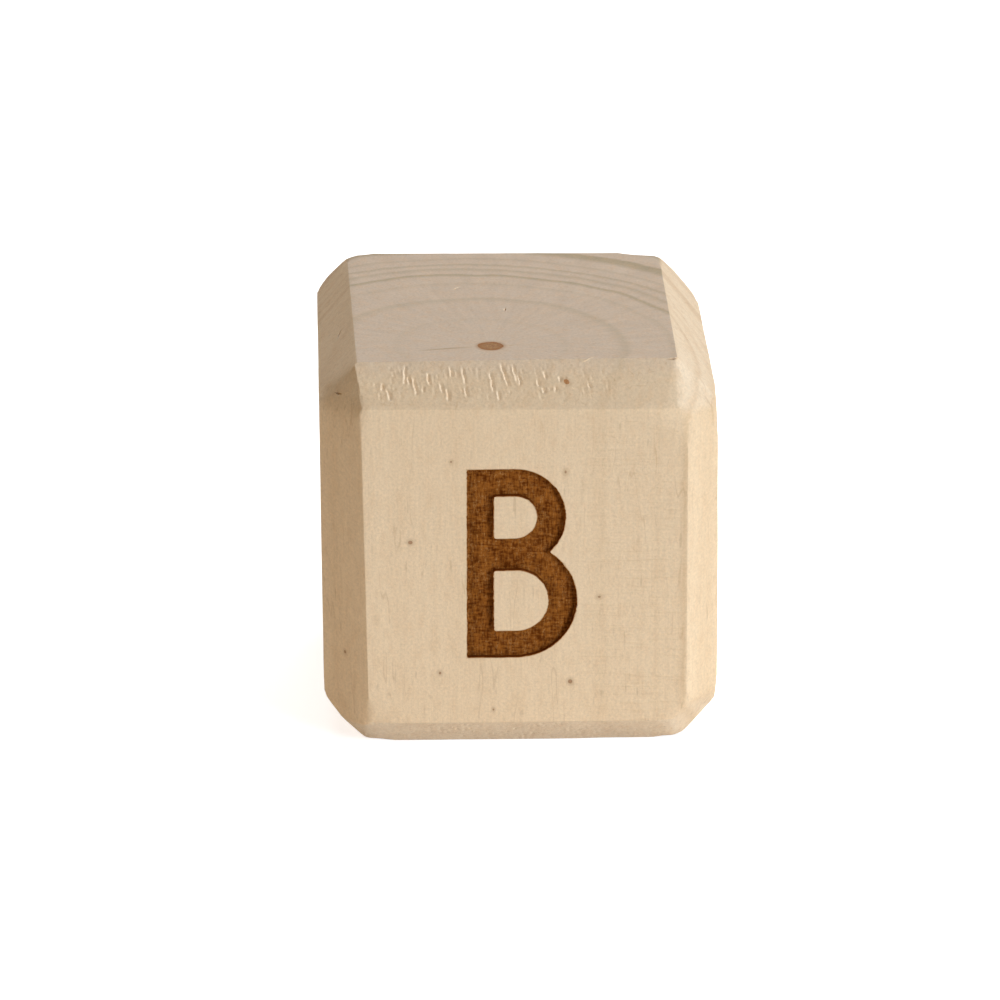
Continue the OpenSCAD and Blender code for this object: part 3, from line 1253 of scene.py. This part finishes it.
def crack_top(body):
    """Opens the hair cracks and nicks with one lens that is copied to each place."""
    bpy.ops.mesh.primitive_uv_sphere_add(segments=4, ring_count=4, radius=0.5 * MM)
    lens = named_primitive("hair_crack")
    cracks = []
    for x, y, length, width, depth, bearing in HAIR_CRACKS:
        above = Vector((x * MM, y * MM, BLOCK_HIGH.z + MM))
        found, spot, outward, _ = body.ray_cast(above, FACES["underside"])
        if not found:
            raise RuntimeError("a hair crack misses the block")
        heading = Vector((math.cos(math.radians(bearing)), math.sin(math.radians(bearing)), 0))
        across = outward.cross(heading).normalized()
        along = across.cross(outward)
        basis = Matrix((along * length, across * width, outward * 2 * depth)).transposed()
        cracks.append(placed_copy(lens, spot, basis))
    discard(lens)
    cutter = joined(cracks, "hair_cracks")
    combine(body, cutter, "DIFFERENCE")
    discard(cutter)


def placed_copy(piece, spot, basis):
    """A copy of the piece at a spot, turned and stretched by the basis."""
    twin = copy_of(piece, piece.name)
    twin.matrix_world = Matrix.Translation(spot) @ basis.to_4x4()
    choose(twin)
    bpy.ops.object.transform_apply(location=True, rotation=True, scale=True)
    return twin


class BLOCK_OT_timber(bpy.types.Operator):
    """Models the sanded pine block with its chamfers, torn grain and hair cracks"""

    bl_idname = "block.timber"
    bl_label = "Timber body"

    def execute(self, context):
        settings = context.scene.timber_settings
        body = sanded_body(settings)
        tear_grain(body, settings)
        crack_top(body)
        finish_piece(body, bare_pine(), ("timber_block",))
        return {"FINISHED"}


# The raised fibres


def fibre_pod():
    """One raised fibre, a millimetre long: a thin four-sided pod that curls up."""
    bpy.ops.mesh.primitive_uv_sphere_add(
        segments=4, ring_count=9, radius=0.5 * MM, scale=(0.14, 0.09, 1)
    )
    pod = named_primitive("fibre_pod")
    apply_modifier(
        pod, "SIMPLE_DEFORM", deform_method="BEND", deform_axis="X", angle=math.radians(50)
    )
    return pod


class BLOCK_OT_fibres(bpy.types.Operator):
    """Models the fibres that stand up from the chamfer over the letter"""

    bl_idname = "block.fibres"
    bl_label = "Raised fibres"

    def execute(self, context):
        body = bpy.data.objects["timber_body"]
        middle, along, up_slope, outward, slope = chamfer_frame("front", "top")
        pod = fibre_pod()
        fibres = []
        for offset, share, length, lean in RAISED_FIBRES:
            turn = Matrix.Rotation(-math.radians(lean), 3, outward)
            basis = Matrix((turn @ along, -outward, turn @ up_slope)).transposed()
            above = middle + along * offset * MM + up_slope * (share - 0.5) * slope + outward * MM
            found, spot, _, _ = body.ray_cast(above, -outward)
            if not found:
                raise RuntimeError("a raised fibre misses its chamfer")
            fibres.append(placed_copy(pod, spot, basis * length))
        discard(pod)
        finish_piece(joined(fibres, "raised_fibres"), bare_pine())
        return {"FINISHED"}


# The pith


class BLOCK_OT_pith(bpy.types.Operator):
    """Models the soft core and cuts its bore through the block"""

    bl_idname = "block.pith"
    bl_label = "Pith"

    def execute(self, context):
        body = bpy.data.objects["timber_body"]
        bpy.ops.mesh.primitive_cylinder_add(
            vertices=40,
            radius=PITH_RADIUS,
            depth=BLOCK_SIZE.z + 2 * OVERRUN,
            location=PITH_MIDDLE,
        )
        core = named_primitive("pith_core_wood")
        roughen(core, 1.1 * MM, 0.5 * MM)
        bore = copy_of(core, "pith_bore")
        combine(body, bore, "DIFFERENCE")
        discard(bore)
        sink = 0.02 * MM
        open_mesh(core)
        slice_off(BLOCK_HIGH - FACES["top"] * sink, FACES["top"])
        slice_off(BLOCK_LOW - FACES["underside"] * sink, FACES["underside"])
        close_mesh()
        open_faces(core, lambda polygon: abs(polygon.normal.z) > 0.9)
        bpy.ops.mesh.poke()
        bpy.ops.mesh.subdivide(number_cuts=5)
        close_mesh()
        reach = BLOCK_SIZE.z / 2 - 2 * sink
        ends = group_of(core, "ends", lambda point: abs(point.z - BLOCK_MIDDLE.z) > reach)
        roughen(core, 0.35 * MM, 0.05 * MM, "Z", ends)
        finish_piece(core, pith_wood(), ("pith_core",))
        return {"FINISHED"}


# The pin knots


def knot_directions(bearing, rise):
    """The way that a pin knot runs, and the way that is level across it."""
    turn = math.radians(bearing)
    level = math.cos(math.radians(rise))
    ahead = Vector((math.sin(turn) * level, -math.cos(turn) * level, math.sin(math.radians(rise))))
    return ahead, Vector((math.cos(turn), math.sin(turn), 0))


class BLOCK_OT_knots(bpy.types.Operator):
    """Models the pin knots and cuts their bores through the block"""

    bl_idname = "block.knots"
    bl_label = "Pin knots"

    def execute(self, context):
        body = bpy.data.objects["timber_body"]
        run = BLOCK_SIZE.x
        rods = []
        for bearing, share, rise, width, stretch in PIN_KNOTS:
            ahead, _ = knot_directions(bearing, rise)
            start = Vector((PITH_MIDDLE.x, PITH_MIDDLE.y, BLOCK_LOW.z + share * BLOCK_SIZE.z))
            start += ahead * 0.9 * PITH_RADIUS
            bpy.ops.mesh.primitive_cylinder_add(
                vertices=16,
                radius=width / 2 * MM,
                depth=run,
                location=start + ahead * run / 2,
                rotation=ahead.to_track_quat("Z", "Y").to_euler(),
                scale=(1, stretch, 1),
            )
            rods.append(named_primitive("knot_rod"))
        knots = joined(rods, "pin_knot_wood")
        bores = copy_of(knots, "knot_bores")
        combine(knots, body, "INTERSECT")
        combine(body, bores, "DIFFERENCE")
        discard(bores)
        finish_piece(knots, knot_wood(), ("pin_knots",))
        return {"FINISHED"}


# The letter


def letter_plan(settings):
    """The letter's own measures: its height, and for each bowl its reach, radius and middle."""
    height = LETTER_HIGH.z - LETTER_LOW.z
    upper_radius = settings.upper_counter / 2 + settings.stroke
    lower_counter = height - settings.upper_counter - settings.waist - 2 * settings.stroke
    lower_radius = lower_counter / 2 + settings.stroke
    lower = {
        "reach": LETTER_HIGH.x - LETTER_LOW.x,
        "radius": lower_radius,
        "middle": lower_radius,
    }
    upper = {
        "reach": settings.upper_reach,
        "radius": upper_radius,
        "middle": height - upper_radius,
    }
    return {"height": height, "bowls": (lower, upper)}


def round_ended_bar(name, left, reach, radius, middle, floor_y, length):
    """A bar that starts at left and ends in a half circle, standing on floor_y towards the front."""
    turning_point = LETTER_LOW.x + reach - radius
    bpy.ops.mesh.primitive_circle_add(
        vertices=128,
        radius=radius,
        fill_type="NGON",
        location=(turning_point, floor_y, LETTER_LOW.z + middle),
        rotation=(math.radians(90), 0, 0),
    )
    bar = named_primitive(name)
    open_mesh(bar)
    bpy.ops.mesh.bisect(
        plane_co=(turning_point, 0, 0),
        plane_no=(1, 0, 0),
        clear_inner=True,
        threshold=CUT_TOLERANCE,
    )
    bpy.ops.mesh.select_mode(type="EDGE")
    bpy.ops.mesh.select_all(action="DESELECT")
    close_mesh()
    near = 0.001 * MM
    for edge in bar.data.edges:
        ends = [bar.data.vertices[index].co.x for index in edge.vertices]
        edge.select = max(ends) < turning_point + near
    bpy.ops.object.mode_set(mode="EDIT")
    bpy.ops.mesh.extrude_region_move(
        TRANSFORM_OT_translate={"value": (left - (reach - radius), 0, 0)}
    )
    bpy.ops.mesh.select_all(action="SELECT")
    bpy.ops.mesh.extrude_region_move(TRANSFORM_OT_translate={"value": (0, -length, 0)})
    bpy.ops.mesh.select_all(action="SELECT")
    bpy.ops.mesh.normals_make_consistent(inside=False)
    close_mesh()
    return bar


def letter_solid(name, settings, inset, floor_y, length):
    """The letter as a solid, drawn in by inset all round: a straight stem and two bowls of plain arcs."""
    plan = letter_plan(settings)
    shape = None
    for bowl in plan["bowls"]:
        outer = round_ended_bar(
            name,
            inset,
            bowl["reach"] - inset,
            bowl["radius"] - inset,
            bowl["middle"],
            floor_y,
            length,
        )
        if shape is None:
            shape = outer
        else:
            combine(shape, outer, "UNION")
            discard(outer)
    for bowl in plan["bowls"]:
        counter = round_ended_bar(
            "counter",
            0,
            bowl["reach"] - settings.stroke + inset,
            bowl["radius"] - settings.stroke + inset,
            bowl["middle"],
            floor_y + OVERRUN,
            length + 2 * OVERRUN,
        )
        combine(shape, counter, "DIFFERENCE")
        discard(counter)
    size = Vector((settings.stem - 2 * inset, length, plan["height"] - 2 * inset))
    low = Vector((LETTER_LOW.x + inset, floor_y - length, LETTER_LOW.z + inset))
    bpy.ops.mesh.primitive_cube_add(size=1, location=low + size / 2, scale=size)
    stem = named_primitive("stem")
    combine(shape, stem, "UNION")
    discard(stem)
    return shape


class BLOCK_OT_letter(bpy.types.Operator):
    """Models the charred skin of the letter and burns its recess into the block"""

    bl_idname = "block.letter"
    bl_label = "Burnt letter"

    def execute(self, context):
        settings = context.scene.letter_settings
        body = bpy.data.objects["timber_body"]
        floor_y = FRONT_Y + LETTER_DEPTH
        char = letter_solid("letter_char_skin", settings, 0, floor_y, LETTER_DEPTH + OVERRUN)
        apply_modifier(char, "REMESH", mode="VOXEL", voxel_size=CHAR_PITCH)
        roughen(char, 1.5 * MM, 0.12 * MM)
        roughen(char, 0.3 * MM, 0.2 * MM, "X", stretch=(8, 8, 1))
        hollow = copy_of(char, "letter_hollow")
        recess = copy_of(char, "letter_recess")
        combine(char, body, "INTERSECT")
        combine(body, recess, "DIFFERENCE")
        discard(recess)
        open_mesh(hollow)
        bpy.ops.transform.shrink_fatten(value=-settings.rim)
        bpy.ops.transform.translate(value=(0, settings.rim - settings.skin, 0))
        close_mesh()
        roughen(hollow, 0.32 * MM, 0.16 * MM, "Y", stretch=(1.2, 1, 0.8))
        combine(char, hollow, "DIFFERENCE")
        discard(hollow)
        finish_piece(char, charred_pine(), ("letter_char",))
        return {"FINISHED"}


# The stage


def area_light(name, azimuth, elevation, distance, size, power, colour):
    """A square soft light that looks at the block."""
    lamp = bpy.data.lights.new(name, "AREA")
    lamp.shape = "SQUARE"
    lamp.size = size
    lamp.energy = power
    lamp.color = colour
    stand = bpy.data.objects.new(name, lamp)
    bpy.context.scene.collection.objects.link(stand)
    away = view_direction(math.radians(azimuth), math.radians(elevation))
    stand.location = BLOCK_MIDDLE + away * distance
    stand.rotation_euler = away.to_track_quat("Z", "Y").to_euler()


def view_direction(azimuth, elevation):
    """The way from the block to someone who stands at that angle from the letter."""
    return Vector(
        (
            math.sin(azimuth) * math.cos(elevation),
            -math.cos(azimuth) * math.cos(elevation),
            math.sin(elevation),
        )
    )


def pale_floor(settings):
    """A matt floor that the camera sees nearly white and that lights the block softly from below."""
    bpy.ops.mesh.primitive_plane_add(size=FLOOR_WIDTH, location=(0, 0, -FLOOR_DROP))
    floor = named_primitive("floor")
    material, wiring, shader = new_material("Pale floor")
    place = wiring.place("ShaderNodeTexCoord").outputs
    cloud = wiring.span(wiring.noise(place["Object"], 6.0), 0.3, 0.7, 0.985, 1.0)
    colour = wiring.mix(1.0, rgba(settings.floor_colour), cloud, "MULTIPLY")
    wiring.feed(shader.inputs["Base Color"], colour)
    shader.inputs["Roughness"].default_value = 0.9
    shader.inputs["Specular IOR Level"].default_value = 0.1
    seen = wiring.place("ShaderNodeLightPath").outputs["Is Camera Ray"]
    glow = wiring.mix(seen, rgba(settings.floor_glow), rgba(FLOOR_SEEN))
    wiring.feed(shader.inputs["Emission Color"], glow)
    shader.inputs["Emission Strength"].default_value = 1.0
    floor.data.materials.append(material)


def studio_world():
    """Dark surroundings that the camera sees as white."""
    world = bpy.data.worlds.new("Studio")
    bpy.context.scene.world = world
    world.use_nodes = True
    world.node_tree.nodes.clear()
    wiring = Wiring(world.node_tree)
    dark = wiring.place("ShaderNodeBackground", {"Color": (1, 1, 1, 1), "Strength": 0.0})
    white = wiring.place("ShaderNodeBackground", {"Color": (1, 1, 1, 1), "Strength": 1.0})
    seen = wiring.place("ShaderNodeLightPath").outputs["Is Camera Ray"]
    choice = wiring.place("ShaderNodeMixShader", {"Fac": seen})
    wiring.tree.links.new(dark.outputs["Background"], choice.inputs[1])
    wiring.tree.links.new(white.outputs["Background"], choice.inputs[2])
    wiring.place("ShaderNodeOutputWorld", {"Surface": choice.outputs["Shader"]})


def photo_camera(settings):
    """The camera, which looks at the letter from a little above."""
    back = view_direction(settings.azimuth, settings.elevation)
    right = Vector((math.cos(settings.azimuth), math.sin(settings.azimuth), 0))
    up = back.cross(right)
    aim = BLOCK_MIDDLE + right * settings.aim_right + up * settings.aim_up
    lens = bpy.data.cameras.new("Camera")
    lens.lens = settings.lens
    lens.sensor_width = SENSOR_WIDTH
    lens.clip_start = 0.01
    camera = bpy.data.objects.new("Camera", lens)
    bpy.context.scene.collection.objects.link(camera)
    turn = Matrix((right, up, back)).transposed().to_4x4()
    camera.matrix_world = Matrix.Translation(aim + back * settings.distance) @ turn
    bpy.context.scene.camera = camera


class BLOCK_OT_stage(bpy.types.Operator):
    """Sets out the floor, the lights and the camera"""

    bl_idname = "block.stage"
    bl_label = "Stage"

    def execute(self, context):
        settings = context.scene.stage_settings
        pale_floor(settings)
        studio_world()
        for row in STUDIO_LIGHTS:
            area_light(*row)
        photo_camera(settings)
        context.scene.view_settings.view_transform = "Standard"
        return {"FINISHED"}


class BLOCK_PT_panel(bpy.types.Panel):
    """Lists the steps and sizes of the alphabet block"""

    bl_label = "Alphabet block"
    bl_idname = "BLOCK_PT_panel"
    bl_space_type = "VIEW_3D"
    bl_region_type = "UI"
    bl_category = "Alphabet block"

    def draw(self, context):
        for operator in OPERATORS:
            self.layout.operator(operator.bl_idname)
        for name, group in SETTINGS.items():
            box = self.layout.box()
            for field in group.__annotations__:
                box.prop(getattr(context.scene, name), field)


OPERATORS = (
    BLOCK_OT_timber,
    BLOCK_OT_fibres,
    BLOCK_OT_pith,
    BLOCK_OT_knots,
    BLOCK_OT_letter,
    BLOCK_OT_stage,
)
SETTINGS = {
    "timber_settings": TimberSettings,
    "letter_settings": LetterSettings,
    "stage_settings": StageSettings,
}


def register():
    for group in SETTINGS.values():
        bpy.utils.register_class(group)
    for operator in OPERATORS:
        bpy.utils.register_class(operator)
    bpy.utils.register_class(BLOCK_PT_panel)
    for name, group in SETTINGS.items():
        setattr(bpy.types.Scene, name, PointerProperty(type=group))


def unregister():
    for name in SETTINGS:
        delattr(bpy.types.Scene, name)
    bpy.utils.unregister_class(BLOCK_PT_panel)
    for operator in reversed(OPERATORS):
        bpy.utils.unregister_class(operator)
    for group in SETTINGS.values():
        bpy.utils.unregister_class(group)


def main():
    register()
    bpy.ops.block.timber()
    bpy.ops.block.fibres()
    bpy.ops.block.pith()
    bpy.ops.block.knots()
    bpy.ops.block.letter()
    bpy.ops.block.stage()


if __name__ == "__main__":
    main()
